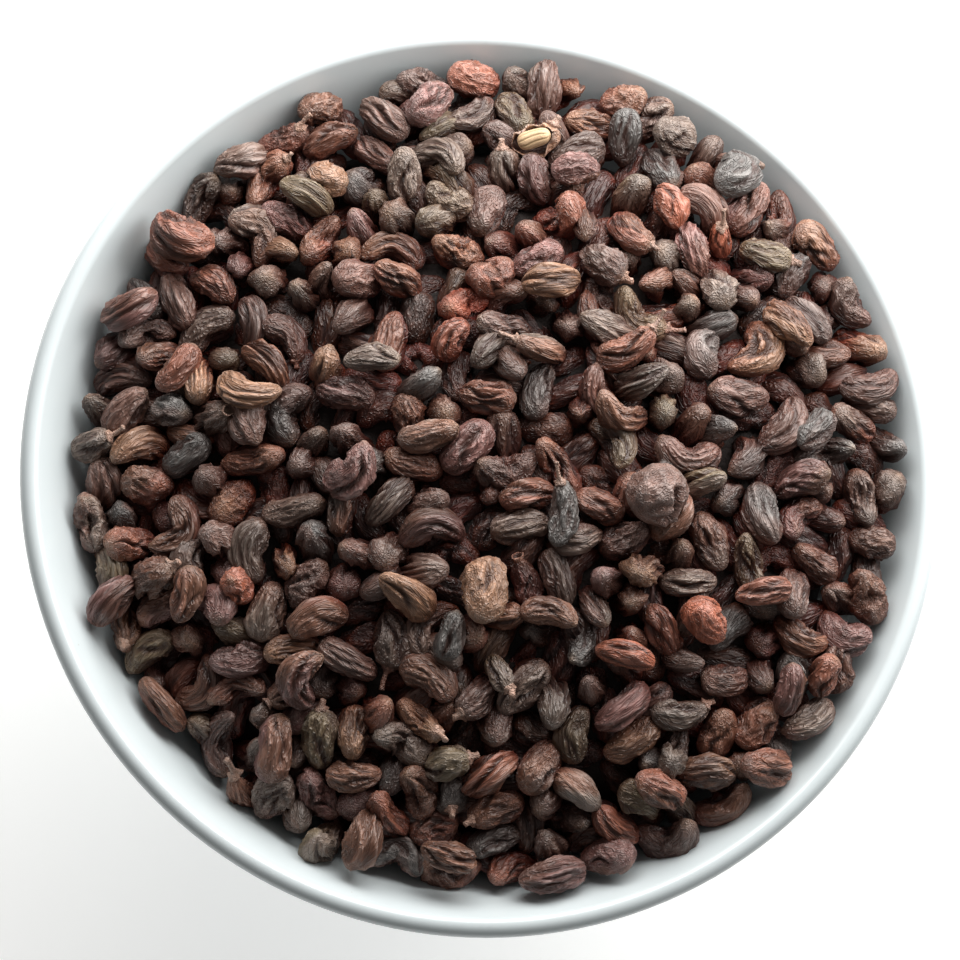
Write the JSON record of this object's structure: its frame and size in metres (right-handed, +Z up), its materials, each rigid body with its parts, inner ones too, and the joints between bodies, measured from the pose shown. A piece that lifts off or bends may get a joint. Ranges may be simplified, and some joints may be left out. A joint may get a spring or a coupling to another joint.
{
  "type": "bowl of dried privet fruit",
  "caption": "Small round white porcelain bowl on a foot ring, heaped with dark wrinkled dried berries that mound over the rim.",
  "frame": {"origin": "middle of the foot ring's underside, on the table", "axes": "+Z up along the bowl's axis; the heap leans towards +X and a little towards +Y"},
  "size_m": [0.1138, 0.1138, 0.06],
  "materials": {
    "porcelain": "clear glossy glaze over white porcelain",
    "dried_fruit": "satin, wrinkled dry skin, from dark brown and purple black to reddish brown"
  },
  "bodies": {
    "root": {"bowl": "porcelain", "fruit_heap": "dried_fruit"}
  },
  "joints": []
}
